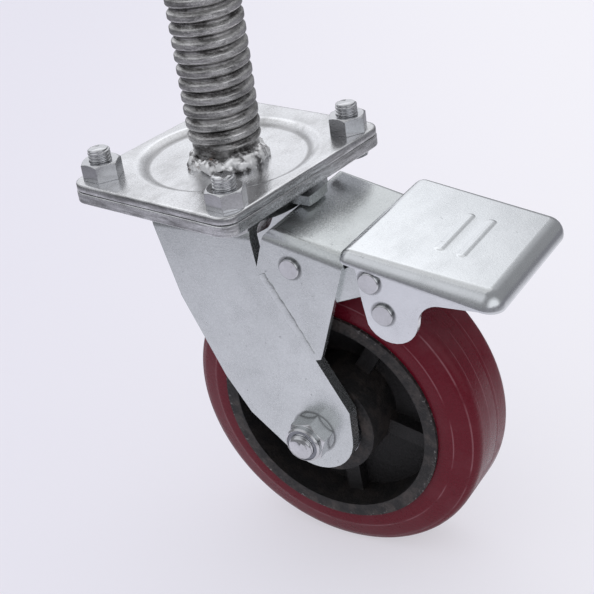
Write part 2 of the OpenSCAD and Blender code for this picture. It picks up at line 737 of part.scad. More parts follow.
module lock_nut() {
    color("silver") at_axle() translate([0, 0, -leg_outer_y]) rotate([180, 0, 0]) difference() {
        union() {
            rotate([0, 0, 12]) chamfered_hexagon(axle_af, lock_hex_h);
            shank(lock_collar_r, lock_nut_h, 0.8);
        }
        translate([0, 0, -join]) cylinder(r = axle_r + pin_clear, h = lock_nut_h + 2 * join);
        translate([0, 0, lock_nut_h - insert_h - 0.5])
            cylinder(r = insert_r + pin_clear, h = insert_h + join);
    }
}

module nut_insert() {
    color("darkslategray") at_axle() translate([0, 0, -leg_outer_y - lock_nut_h + 0.5])
        ring(insert_r, axle_r + pin_clear, insert_h);
}

module axle_sleeve() {
    color("gray") at_axle() translate([0, 0, -leg_inner_y]) ring(sleeve_r, axle_r + pin_clear, leg_gap);
}

module axle_spacers() {
    color("silver") at_axle() for (s = [0, 1]) mirror([0, 0, s])
        translate([0, 0, bearing_face_y])
            ring(bearing_bore_r + bearing_ring_t, bearing_bore_r, leg_inner_y - bearing_face_y);
}

module bearing_pair() {
    for (s = [0, 1]) mirror([0, 0, s]) translate([0, 0, bearing_mid_y]) children();
}

module bearing_inner_rings() {
    color("lightsteelblue") at_axle() bearing_pair() difference() {
        translate([0, 0, -bearing_w / 2]) ring(bearing_bore_r + bearing_ring_t, bearing_bore_r, bearing_w);
        groove(bearing_pitch_r, bearing_ball_r);
    }
}

module bearing_outer_rings() {
    color("lightsteelblue") at_axle() bearing_pair() difference() {
        translate([0, 0, -bearing_w / 2]) ring(bearing_r, bearing_r - bearing_ring_t, bearing_w);
        groove(bearing_pitch_r, bearing_ball_r);
    }
}

module bearing_balls() {
    color("silver") at_axle() bearing_pair() ball_ring(bearing_pitch_r, bearing_ball_r, bearing_ball_count);
}

module bearing_shields() {
    color("dimgray") at_axle() bearing_pair() translate([0, 0, bearing_w / 2 - shield_t])
        ring(bearing_r - bearing_ring_t, bearing_bore_r + bearing_ring_t + side_clear, shield_t);
}

module wheel_core() {
    rim_inner_r = rim_outer_r - rim_t;
    rib_half = rim_w / 2 - rib_recess;
    rib_start = hub_r - 3;
    color("black") at_axle() difference() {
        union() {
            translate([0, 0, -rim_w / 2]) ring(rim_outer_r, rim_inner_r, rim_w);
            translate([0, 0, -web_t / 2]) cylinder(r = rim_inner_r + join, h = web_t);
            translate([0, 0, -hub_len / 2]) cylinder(r = hub_r, h = hub_len);
            for (i = [0 : rib_count - 1]) rotate([0, 0, -rib_angle - 360 * i / rib_count])
                translate([rib_start, -rib_t / 2, -rib_half])
                    cube([rim_inner_r + 2 * join - rib_start, rib_t, 2 * rib_half]);
        }
        translate([0, 0, -hub_len]) cylinder(r = bearing_r - bearing_ring_t, h = 2 * hub_len);
        bearing_pair() translate([0, 0, -bearing_w / 2]) cylinder(r = bearing_r + pin_clear, h = hub_len);
    }
}

// The half section is drawn in radius and distance along the axle
module tyre() {
    side = tyre_w / 2;
    tread = tread_w / 2;
    shoulder = 3;
    half = [[rim_outer_r, side], [tyre_crease_r, side], [wheel_r - shoulder, tread + 0.45 * shoulder],
            [wheel_r - 0.3 * shoulder, tread - 0.1 * shoulder], [wheel_r, tread - shoulder]];
    color("maroon") at_axle() rotate_extrude()
        polygon(concat(half, [for (i = [len(half) - 1 : -1 : 0]) [half[i].x, -half[i].y]]));
}

// The pedal is drawn along its slope from its back top edge
module on_pedal() {
    lift() translate([pivot.x - pedal_back, 0, pivot.y + pedal_rise]) rotate([0, pedal_slope, 0]) children();
}

// Two rounded corners of the pedal, with a plain wall below the rounding
module pedal_corners(x, edge_r, inset, depth) {
    for (s = [-1, 1]) translate([x, s * (pedal_outer_y - edge_r), -edge_r]) {
        sphere(r = edge_r - inset, $fn = hull_fn);
        translate([0, 0, edge_r - depth]) cylinder(r = edge_r - inset, h = 1, $fn = hull_fn);
    }
}

module pedal_block(inset, extra) {
    hull() {
        pedal_corners(pedal_edge_r, pedal_edge_r, inset, pedal_depth + extra);
        pedal_corners(pedal_len - pedal_nose_r, pedal_nose_r, inset, pedal_nose_depth + extra);
    }
}

// A place on the pedal's side, as x and z, from its run along the slope and its depth
function pedal_place(run, depth) =
    pivot + [-pedal_back, pedal_rise] + run * [cos(pedal_slope), -sin(pedal_slope)]
    - depth * [sin(pedal_slope), cos(pedal_slope)];

// Ear outline: down from inside the rim, round the lobe and back into the rim
function ear_outline() =
    let (root = pivot + [-ear_root_back, ear_root_rise], neck = pivot - [ear_neck_back, ear_neck_drop],
         front = ear_lobe + [ear_lobe_r, 0])
    concat([pedal_place(pedal_back - ear_root_back, 0.55 * pedal_depth), root, neck],
           arc(ear_lobe, ear_lobe_r, 205, 352),
           arc(front + [ear_hollow_r, -ear_hollow_drop], ear_hollow_r, 172, 92, 8),
           [front + [ear_flange_len, ear_flange_rise],
            pedal_place(0.88 * pedal_len, 0.75 * pedal_nose_depth)]);

// A pressed rib is the part of a long rounded bar that stands above the sheet
module pedal_rib() {
    r = (pow(pedal_rib_w / 2, 2) + pow(pedal_rib_h, 2)) / (2 * pedal_rib_h);
    reach = pedal_rib_len / 2 - pedal_rib_w / 2;
    intersection() {
        hull() for (s = [-1, 1]) translate([0, s * reach, pedal_rib_h - r]) sphere(r = r, $fn = hull_fn);
        translate([-pedal_rib_w, -pedal_rib_len, -pedal_sheet / 2])
            cube([2 * pedal_rib_w, 2 * pedal_rib_len, pedal_sheet]);
    }
}

module brake_pedal() {
    rim_run = [pedal_len, pedal_depth - pedal_nose_depth] / 10;
    color("whitesmoke") {
        on_pedal() {
            intersection() {
                difference() {
                    pedal_block(0, 0);
                    pedal_block(pedal_sheet, join);
                }
                side_slab([[0, -pedal_depth] - rim_run, [pedal_len, -pedal_nose_depth] + rim_run,
                           [pedal_len + pedal_depth, pedal_depth], [-pedal_depth, pedal_depth]],
                          -pedal_w, pedal_w);
            }
            for (s = [-1, 1]) translate([pedal_rib_mid + s * pedal_rib_pitch / 2, 0, 0]) pedal_rib();
        }
        lift() both_sides() difference() {
            side_slab(ear_outline(), -ear_outer_y, -ear_inner_y);
            for (p = [pivot, roller_axis]) translate([p.x, -pedal_outer_y - join, p.y]) rotate([-90, 0, 0])
                cylinder(r = rivet_r + pin_clear, h = pedal_outer_y);
        }
    }
}

screw_stem();
stem_weld();
stem_plate();
castor_plate();
plate_bolts();
plate_nuts();
kingpin();
kingpin_nut();
lower_race();
upper_balls();
lower_balls();
fork();
brake_housing();
brake_arm();
housing_rivet_pin();
axle_bolt();
lock_nut();
nut_insert();
axle_sleeve();
axle_spacers();
bearing_inner_rings();
bearing_outer_rings();
bearing_balls();
bearing_shields();
wheel_core();
tyre();
brake_pedal();
pivot_rivet();
roller_rivet();
brake_roller();
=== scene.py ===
# %% [markdown]
# # A scaffold castor
# This lesson dresses the solids of a braked scaffold castor: a screw stem welded to a dished plate,
# a second plate bolted below it, a swivel fork, a wheel with a maroon tyre and a foot pedal.
# The packed solids come in as a fixed frame. They are never moved, so each finer piece is made
# straight in the frame's own metres, and the solids it stands for are hidden.

import json
import math

import bmesh
import bpy
import numpy as np
from mathutils import Matrix, Vector, noise


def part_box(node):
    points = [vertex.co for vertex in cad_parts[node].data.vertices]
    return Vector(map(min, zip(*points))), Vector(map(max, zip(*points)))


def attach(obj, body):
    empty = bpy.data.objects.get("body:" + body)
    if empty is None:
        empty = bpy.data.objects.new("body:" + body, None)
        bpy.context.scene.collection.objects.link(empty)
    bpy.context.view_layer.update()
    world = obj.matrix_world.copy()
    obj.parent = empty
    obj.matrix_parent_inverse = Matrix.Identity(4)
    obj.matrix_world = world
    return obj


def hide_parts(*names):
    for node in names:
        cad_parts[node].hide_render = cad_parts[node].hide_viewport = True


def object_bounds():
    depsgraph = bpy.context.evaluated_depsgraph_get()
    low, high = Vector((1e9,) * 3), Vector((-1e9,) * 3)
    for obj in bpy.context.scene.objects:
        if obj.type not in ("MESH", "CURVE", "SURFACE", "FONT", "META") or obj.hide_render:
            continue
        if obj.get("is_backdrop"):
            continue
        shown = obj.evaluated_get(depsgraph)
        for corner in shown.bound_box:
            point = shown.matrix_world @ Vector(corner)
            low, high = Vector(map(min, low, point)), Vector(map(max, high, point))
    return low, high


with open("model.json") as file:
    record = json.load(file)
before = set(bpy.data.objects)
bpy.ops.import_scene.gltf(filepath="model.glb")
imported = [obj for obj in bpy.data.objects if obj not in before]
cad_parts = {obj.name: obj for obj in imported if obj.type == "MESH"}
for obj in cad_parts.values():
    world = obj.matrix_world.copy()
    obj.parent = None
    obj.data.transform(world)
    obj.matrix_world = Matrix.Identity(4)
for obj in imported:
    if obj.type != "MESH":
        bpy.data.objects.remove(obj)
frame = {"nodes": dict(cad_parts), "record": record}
nodes = frame["nodes"]
cad_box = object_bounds()
scene = bpy.context.scene
scene.view_settings.view_transform = "Standard"
for plain in list(bpy.data.materials):
    bpy.data.materials.remove(plain)
MM = 0.001
PLATE_JOINT = -127.4
TRAIL = 48.75
AXLE_Z = -115.35


def spot(x, y, z):
    """A place given in millimetres about the joint between the two plates."""
    return Vector((x, y, z + PLATE_JOINT)) * MM


print("solids:", len(nodes), "box:", [round(v, 4) for corner in cad_box for v in corner])

# %% [markdown]
# ## Camera
# The photograph is a crop of a longer lens view, a little rolled. The camera was solved from the wheel's
# ellipses and the plate's corners, so it is set from its place, two angles, a roll and a shift.
# Tracking an empty would be easier to type, but a track cannot hold the roll.

# %% Set the camera
PHOTO_PIXELS = 594
focal_pixels, centre_across, centre_down = 1302.97, 347.71, 333.68
camera_place = spot(330.647, -442.489, 226.663)
turn, tilt, roll = math.radians(32.24), math.radians(30.507), math.radians(-6.987)
level_right = Vector((math.cos(turn), math.sin(turn), 0))
back = Vector((math.sin(turn) * math.cos(tilt), -math.cos(turn) * math.cos(tilt), math.sin(tilt)))
level_up = back.cross(level_right)
right = math.cos(roll) * level_right + math.sin(roll) * level_up
up = math.cos(roll) * level_up - math.sin(roll) * level_right
lens = bpy.data.cameras.new("camera")
camera = bpy.data.objects.new("camera", lens)
scene.collection.objects.link(camera)
camera.matrix_world = Matrix.Translation(camera_place) @ Matrix((right, up, back)).transposed().to_4x4()
lens.sensor_width = 36
lens.lens = focal_pixels / PHOTO_PIXELS * 36
lens.shift_x = (PHOTO_PIXELS / 2 - centre_across) / PHOTO_PIXELS
lens.shift_y = (centre_down - PHOTO_PIXELS / 2) / PHOTO_PIXELS
lens.clip_start = 0.01
scene.camera = camera
print("camera lens in mm:", round(lens.lens, 2))

# %% [markdown]
# ## Shader and geometry maths
# Node trees get hard to read when each sum is three lines of links. One small class wraps a socket,
# so that `1 - mask * 0.5` adds the Math nodes by itself, and one method makes any other node.
# The same class serves material trees and geometry trees.


# %% Wrap sockets
class Field:
    """A node's output that can be used in sums."""

    def __init__(self, socket):
        self.socket = socket
        self.tree = socket.id_data

    @staticmethod
    def node(tree, kind, inputs, settings=(), output=0):
        made = tree.nodes.new(kind)
        for name, value in dict(settings).items():
            setattr(made, name, value)
        for key, value in inputs.items():
            if isinstance(value, Field):
                tree.links.new(value.socket, made.inputs[key])
            else:
                made.inputs[key].default_value = value
        return Field(made.outputs[output])

    def math(self, operation, first, second=0.0):
        return Field.node(self.tree, "ShaderNodeMath", {0: first, 1: second}, {"operation": operation})

    def __add__(self, other):
        return self.math("ADD", self, other)

    def __radd__(self, other):
        return self.math("ADD", other, self)

    def __sub__(self, other):
        return self.math("SUBTRACT", self, other)

    def __rsub__(self, other):
        return self.math("SUBTRACT", other, self)

    def __mul__(self, other):
        return self.math("MULTIPLY", self, other)

    def __rmul__(self, other):
        return self.math("MULTIPLY", other, self)

    def __truediv__(self, other):
        return self.math("DIVIDE", self, other)

    def __rtruediv__(self, other):
        return self.math("DIVIDE", other, self)

    def ramp(self, low, high, smooth=True):
        """0 below low, 1 above high; low may be the greater."""
        kind = "SMOOTHSTEP" if smooth else "LINEAR"
        return Field.node(self.tree, "ShaderNodeMapRange", {0: self, 1: low, 2: high, 3: 0.0, 4: 1.0},
                          {"interpolation_type": kind})


print("operators:", [name for name in vars(Field) if name.startswith("__r")])

# %% [markdown]
# ## Finishes
# All plated steel here is the same zinc over different metal: smooth sheet on the fork, a smudged and
# scuffed sheet on the plates, a bright pressing on the pedal. So one function makes them, and
# takes two tones, a roughness and how strongly the smudges show. Noise on Object coordinates gives
# clouds, fine specks, pits and drawn-out scratches, all in real metres. Masks of distance paint shade in
# rings at the foot of the dish, round rivets and the axle's lock nut, and under the top plate by the
# swivel, and a painted highlight ring on the dish's lip.


# %% Noise helpers
def new_finish(name):
    material = bpy.data.materials.new(name)
    material.use_nodes = True
    tree = material.node_tree
    shader = tree.nodes["Principled BSDF"]
    place = Field.node(tree, "ShaderNodeTexCoord", {}, output=3)
    return material, tree, shader, place


def cloud(tree, place, size, detail=4.0, rough=0.55, stretch=None, shift=(0, 0, 0)):
    """Noise whose lumps are about size metres, stretched if asked."""
    if stretch or any(shift):
        place = Field.node(tree, "ShaderNodeMapping", {0: place, 1: shift, 3: stretch or (1, 1, 1)})
    return Field.node(tree, "ShaderNodeTexNoise", {"Vector": place, "Scale": 1 / size, "Detail": detail,
                                                   "Roughness": rough})


def blend(tree, amount, first, second):
    """Mixes two colours by a field."""
    return Field.node(tree, "ShaderNodeMix", {0: amount, 6: first, 7: second}, {"data_type": "RGBA"},
                      output=2)


def colour(*rgb):
    """A colour written as 0 to 255 picture values, as the linear values that shaders use."""
    return (*[((v / 255 + 0.055) / 1.055) ** 2.4 for v in rgb], 1.0)


def feed(tree, shader, **fields):
    """Links fields to the shader's varying sockets, or sets plain numbers there."""
    for name, value in fields.items():
        key = name.replace("_", " ").title()
        if isinstance(value, Field):
            tree.links.new(value.socket, shader.inputs[key])
        else:
            shader.inputs[key].default_value = value


def bump(tree, height, distance):
    return Field.node(tree, "ShaderNodeBump", {"Height": height, "Distance": distance, "Strength": 1.0})


def along(tree, vector, axis):
    """The x, y or z value of a vector, for axis 0, 1 or 2."""
    return Field.node(tree, "ShaderNodeSeparateXYZ", {0: vector}, output=axis)


def towards(tree, vector, direction):
    """How far a vector goes in a direction."""
    return Field.node(tree, "ShaderNodeVectorMath", {0: vector, 1: direction}, {"operation": "DOT_PRODUCT"},
                      output=1)


print("picture grey 128 is linear", round(colour(128, 128, 128)[0], 3))


# %% Zinc plating
def radius_about(tree, place, centre, keep):
    """Distance from an axis through centre; keep has 1 for the two directions across the axis."""
    off = Field.node(tree, "ShaderNodeVectorMath", {0: place, 1: centre}, {"operation": "SUBTRACT"})
    flat = Field.node(tree, "ShaderNodeVectorMath", {0: off, 1: keep}, {"operation": "MULTIPLY"})
    return Field.node(tree, "ShaderNodeVectorMath", {0: flat}, {"operation": "LENGTH"}, output=1)


def side_faces(tree):
    """1 on faces that stand upright, 0 on level ones."""
    rise = along(tree, Field.node(tree, "ShaderNodeTexCoord", {}, output=1), 2)
    return rise.math("ABSOLUTE", rise).ramp(0.75, 0.35)


def band(reach, start, full, last, end):
    """1 from full to last and 0 outside start and end, all in millimetres."""
    return reach.ramp(start * MM, full * MM) * reach.ramp(end * MM, last * MM)


# Heights between which painted shade under the top plate, by the swivel, fades in.
SHADE_UNDER_PLATE_LOW, SHADE_UNDER_PLATE_FULL = PLATE_JOINT - 19, PLATE_JOINT - 13


def zinc(name, dark, light, rough, smudge, metal, speck=0.5, grain=0.00003, sheared_and_painted_dish=0.0, painted_shade_under_plate=0.0,
         painted_shade_round=()):
    """Plating; one flag darkens upright sheared edges and paints a shade ring at the dish's foot and a
    highlight ring on its lip, another paints shade under the top plate by the swivel, and listed parts get
    rings of painted shade.
    """
    material, tree, shader, place = new_finish(name)
    clouds = cloud(tree, place, 0.03, 5).ramp(0.3, 0.7)
    smears = cloud(tree, place, 0.012, 6, 0.65, (1, 0.45, 1), (0.3, 0.1, 0.2)).ramp(0.42, 0.72)
    specks = cloud(tree, place, 0.0009, 3, 0.7)
    pits = cloud(tree, place, 0.0032, 3, 0.7, shift=(0.7, 0.4, 0.6)).ramp(0.69, 0.73)
    scratches = cloud(tree, place, 0.004, 3, 0.6, (0.12, 1, 1), (1, 2, 3)).ramp(0.6, 0.72)
    tone = clouds * 0.2 + (1 - smears) * 0.35 * smudge + (specks - 0.5) * speck * 1.4 + 0.4
    paint = blend(tree, tone, dark, light)
    paint = blend(tree, scratches * 0.25 * smudge, paint, light)
    paint = blend(tree, pits * speck * 0.5, paint, colour(70, 70, 74))
    if sheared_and_painted_dish:
        torn = cloud(tree, place, 0.012, 6, 0.75, (0.6, 0.6, 6)).ramp(0.36, 0.66)
        paint = blend(tree, side_faces(tree) * torn * sheared_and_painted_dish, paint, colour(46, 44, 44))
        # Painted shade in a ring at the foot of the dish, and a painted highlight ring on its lip.
        reach = radius_about(tree, place, (0, 0, 0), (1, 1, 0))
        dish_foot_shade = band(reach, 35.2, 36.6, 37.2, 39.6)
        dish_lip_highlight = band(reach, 40.8, 42.0, 42.4, 43.6)
        paint = blend(tree, dish_foot_shade * 0.55, paint, colour(60, 58, 58))
        paint = blend(tree, dish_lip_highlight * 0.35, paint, colour(236, 237, 239))
    if painted_shade_under_plate:
        # Painted shade on the fork where it sits under the top plate near the swivel.
        close = along(tree, place, 2).ramp(SHADE_UNDER_PLATE_LOW * MM, SHADE_UNDER_PLATE_FULL * MM)
        close = close * radius_about(tree, place, (0, 0, 0), (1, 1, 0)).ramp(37.6 * MM, 37.1 * MM)
        paint = blend(tree, close * painted_shade_under_plate, paint, colour(52, 50, 50))
    # A ring of painted shade round each listed rivet or nut.
    for rivet in painted_shade_round:
        low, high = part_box(rivet)
        head = (high.x - low.x) / 2 / MM
        reach = radius_about(tree, place, (low + high) / 2, (1, 0, 1))
        ring = band(reach, head - 0.3, head, head + 0.4, head + 1.6)
        paint = blend(tree, ring * 0.6, paint, colour(70, 70, 72))
    feed(tree, shader, base_color=paint, metallic=metal,
         roughness=rough + smears * 0.16 * smudge + (specks - 0.5) * 0.2,
         normal=bump(tree, specks + clouds * 0.5 - scratches * 0.3 * smudge, grain))
    return material


fork_zinc = zinc("fork_zinc", colour(178, 182, 182), colour(224, 228, 228), rough=0.23, smudge=0.35,
                 metal=0.92, speck=0.7, grain=0.00005, painted_shade_under_plate=0.8, painted_shade_round=("housing_rivet_pin", "lock_nut"))
plate_zinc = zinc("plate_zinc", colour(146, 145, 144), colour(238, 239, 241), rough=0.22, smudge=0.9,
                  metal=1.0, speck=0.6, grain=0.00004, sheared_and_painted_dish=0.6)
pedal_zinc = zinc("pedal_zinc", colour(206, 209, 211), colour(236, 239, 241), rough=0.22, smudge=0.45,
                  metal=1.0, speck=0.5, grain=0.00004, painted_shade_round=("pivot_rivet", "roller_rivet"))
fastener_zinc = zinc("fastener_zinc", colour(140, 141, 144), colour(232, 233, 235), rough=0.15, smudge=0.4,
                     metal=1.0, speck=0.25)
print("zinc finishes:", [m.name for m in (fork_zinc, plate_zinc, pedal_zinc, fastener_zinc)])


# %% [markdown]
# The stem's thread is lighter on the crests, as wear and painted highlight, and darker in the roots as
# painted shade.
# The distance from the stem's axis tells crest from root, so the finish measures it from Object
# coordinates. The plain end above the thread is thinner than a crest and would count as a root, so its
# height lightens it.
# The weld bead's tone follows its bumps: painted highlight on the lumps and painted shade between them,
# with a little rust.


# %% Stem and weld finishes
PLAIN_START = PLATE_JOINT + 93


def thread_steel(name, root, crest):
    material, tree, shader, place = new_finish(name)
    height = radius_about(tree, place, (0, 0, 0), (1, 1, 0)).ramp(root, crest)
    plain = along(tree, place, 2).ramp(PLAIN_START * MM, (PLAIN_START + 1) * MM)
    height = height.math("MAXIMUM", height, plain * 0.75)
    worn = cloud(tree, place, 0.007, 6, 0.7, (0.6, 0.6, 2.5)).ramp(0.36, 0.64)
    grit = cloud(tree, place, 0.0009, 3, 0.7)
    # Crests are painted lighter and roots painted darker, as highlight and shade.
    tone = height * 0.35 + worn * 0.5 + (grit - 0.5) * 0.7
    paint = blend(tree, tone, colour(76, 74, 73), colour(236, 235, 234))
    feed(tree, shader, base_color=paint, metallic=1.0, roughness=0.26 - height * 0.08 + worn * 0.06,
         normal=bump(tree, grit + worn, 0.0001))
    return material


def bead_steel(name):
    material, tree, shader, place = new_finish(name)
    lumps = cloud(tree, place, 0.006, 5, 0.65)
    rust = cloud(tree, place, 0.009, 5, 0.7, shift=(0.4, 0.2, 0.1)).ramp(0.6, 0.7)
    # Lighter where the bump is high and darker where it is low: painted highlight and painted shade.
    paint = blend(tree, lumps.ramp(0.4, 0.56), colour(104, 102, 102), colour(252, 252, 252))
    paint = blend(tree, rust * 0.7, paint, colour(112, 74, 48))
    feed(tree, shader, base_color=paint, metallic=0.6 - rust * 0.4, roughness=0.18 + rust * 0.4,
         normal=bump(tree, lumps, 0.0006))
    return material


stem_steel = thread_steel("stem_steel", 0.0151, 0.0163)
weld_steel = bead_steel("weld_steel")
print("stem and weld:", stem_steel.name, weld_steel.name)


# %% [markdown]
# The tyre is cast polyurethane, satin and a little dusty, with pale broken lines round the tread, and
# broken painted highlights along the crease and the shoulder of each side.
# The core is black paint on a rough casting. Handling has scuffed the paint on the rim's raised ring and
# on the hub, so masks of radius and noise let a brownish grey through there.


# %% Tyre and core finishes
axle = spot(TRAIL, 0, AXLE_Z)
tread_lines = (-11.4, -4.2, 5.0)
edge_highlight_radii = (63.6, 71.9)


def polyurethane(name):
    material, tree, shader, place = new_finish(name)
    dust = cloud(tree, place, 0.02, 6, 0.65).ramp(0.45, 0.75)
    grain = cloud(tree, place, 0.0015, 3, 0.6)
    across = along(tree, place, 1)
    reach = radius_about(tree, place, axle, (1, 0, 1))
    lines = sum(across.math("ABSOLUTE", across - at * MM).ramp(0.00022, 0.00008) for at in tread_lines)
    # Pale lines at the side crease and the shoulder are painted highlights on those edges.
    lines = lines + sum(reach.math("ABSOLUTE", reach - at * MM).ramp(0.0004, 0.0001) for at in edge_highlight_radii)
    lines = lines * cloud(tree, place, 0.018, 3, shift=(0.5, 0.2, 0.9)).ramp(0.36, 0.6)
    paint = blend(tree, grain * 0.5 + 0.2, colour(84, 11, 24), colour(106, 22, 38))
    paint = blend(tree, dust * 0.08 + lines * 0.45, paint, colour(158, 112, 118))
    shader.inputs["Specular IOR Level"].default_value = 0.2
    feed(tree, shader, base_color=paint, metallic=0.0, roughness=0.27 + dust * 0.2 + (grain - 0.5) * 0.1,
         normal=bump(tree, grain + dust * 0.4, 0.00012))
    return material


def cast_paint(name):
    material, tree, shader, place = new_finish(name)
    reach = radius_about(tree, place, axle, (1, 0, 1))
    sand = cloud(tree, place, 0.0022, 5, 0.65)
    wear = cloud(tree, place, 0.008, 6, 0.7)
    rim = reach.ramp(0.0485, 0.0515) * wear.ramp(0.42, 0.66)
    hub = reach.ramp(0.03, 0.024) * wear.ramp(0.42, 0.66)
    paint = blend(tree, sand * 0.6, colour(13, 12, 12), colour(42, 40, 41))
    paint = blend(tree, rim * 0.4 + hub * 0.5, paint, colour(84, 74, 68))
    flecks = reach.ramp(0.0538, 0.0556) * cloud(tree, place, 0.0016, 4, 0.7).ramp(0.58, 0.66)
    paint = blend(tree, flecks * 0.6, paint, colour(150, 146, 144))
    feed(tree, shader, base_color=paint, metallic=0.0, roughness=0.62 - rim * 0.1 + (sand - 0.5) * 0.2,
         normal=bump(tree, sand + wear * 0.5, 0.0005))
    return material


def plain_insert(name):
    material, tree, shader, place = new_finish(name)
    mottle = cloud(tree, place, 0.003, 3)
    feed(tree, shader, base_color=blend(tree, mottle, colour(120, 122, 128), colour(160, 162, 170)),
         roughness=0.5 + mottle * 0.1, normal=bump(tree, mottle, 0.0001))
    return material


tyre_maroon = polyurethane("tyre_maroon")
core_iron = cast_paint("core_iron")
insert_plastic = plain_insert("insert_plastic")
bearing_steel = zinc("bearing_steel", colour(150, 150, 154), colour(210, 210, 214), rough=0.22, smudge=0.2,
                     metal=1.0, speck=0.2)
finishes = {m.name: m for m in (stem_steel, weld_steel, plate_zinc, fork_zinc, pedal_zinc, fastener_zinc,
                                tyre_maroon, core_iron, insert_plastic, bearing_steel)}
for part in frame["record"]["subparts"]:
    shown = nodes[part["node"]].data
    shown.materials.clear()
    shown.materials.append(finishes[part["material_slot"]])
print("finishes by slot:", sorted(finishes))

# %% [markdown]
# ## Pieces from the solids
# Real sheet and castings have broken edges that catch the light, and the solids have none. A copy of a
# solid is merged, gets a small bevel on its sharp edges and smooth shading below a limit angle.
# Cutting the bevels into the solids would cost thousands of faces there.

# %% Break the edges of copied solids
body_of_node = {n: body for body, names in frame["record"]["behaviour"]["bodies"].items() for n in names}
slot_of_node = {part["node"]: part["material_slot"] for part in frame["record"]["subparts"]}


def add_piece(name, mesh, node):
    """Puts a finished mesh in the scene for a solid, on the same body, and in the same finish if it has
    none.
    """
    piece = bpy.data.objects.new(name, mesh)
    scene.collection.objects.link(piece)
    if not mesh.materials:
        mesh.materials.append(finishes[slot_of_node[node]])
    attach(piece, body_of_node[node])
    return piece


def stand_for(piece, *solids):
    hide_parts(*solids)
    return piece


def merged_copy(node):
    made = bmesh.new()
    made.from_mesh(nodes[node].data)
    bmesh.ops.remove_doubles(made, verts=made.verts, dist=2e-6)
    bmesh.ops.dissolve_limit(made, angle_limit=math.radians(0.3), verts=made.verts, edges=made.edges)
    return made


BEVEL_STEPS = 2
BEVEL_FROM = math.radians(28)
SHARP_FROM = math.radians(60)


def bevelled(made, name, width):
    """Turns an edit mesh into a mesh with rounded sharp edges, width in millimetres."""
    rough = bpy.data.meshes.new(name + "_rough")
    made.to_mesh(rough)
    made.free()
    rough.shade_smooth()
    rough.set_sharp_from_angle(angle=SHARP_FROM)
    holder = bpy.data.objects.new(name + "_rough", rough)
    scene.collection.objects.link(holder)
    edge = holder.modifiers.new("edges", "BEVEL")
    edge.width = width * MM
    edge.segments = BEVEL_STEPS
    edge.limit_method = "ANGLE"
    edge.angle_limit = BEVEL_FROM
    edge.use_clamp_overlap = True
    edge.harden_normals = False
    flat = holder.modifiers.new("flat faces", "WEIGHTED_NORMAL")
    flat.weight = 50
    flat.keep_sharp = True
    mesh = bpy.data.meshes.new_from_object(holder.evaluated_get(bpy.context.evaluated_depsgraph_get()))
    mesh.name = name
    bpy.data.objects.remove(holder)
    mesh.materials.clear()
    return mesh


def broken_edges(node, width):
    mesh = bevelled(merged_copy(node), node + "_finish", width)
    return stand_for(add_piece(node + "_finish", mesh, node), node)


edge_widths = {"fork": 0.7, "brake_housing": 0.6, "brake_arm": 0.4, "brake_pedal": 0.3, "castor_plate": 0.5,
               "plate_nuts": 0.25, "lock_nut": 0.25, "wheel_core": 0.9, "housing_rivet_pin": 0.15,
               "pivot_rivet": 0.15, "roller_rivet": 0.15, "brake_roller": 0.4, "kingpin_nut": 0.3,
               "kingpin": 0.3, "axle_spacers": 0.2, "lower_race": 0.2}
for node, width in edge_widths.items():
    piece = broken_edges(node, width)
    print(piece.name, len(piece.data.polygons), "faces")

# %% [markdown]
# ## Threads
# The stem's coarse thread, the plate bolts' ends and the axle's end are all the same rule at other sizes:
# a tube whose radius rises and falls along a helix. A geometry tree bends a grid into that tube. Its
# first and last rows close the ends, and it is placed at every point of the mesh it gets.

# %% Build the thread tree
thread_inputs = ("Foot", "Top", "Thread Start", "Thread End", "Root Radius", "Crest Height", "Pitch",
                 "Plain Radius", "Chamfer")
# In turns or pitches: where the helix starts, and how long it takes to rise, fade and step to the plain end
HELIX_START, RUN_IN, RUN_OUT, STEP_UP = 0.09, 0.9, 0.6, 0.2


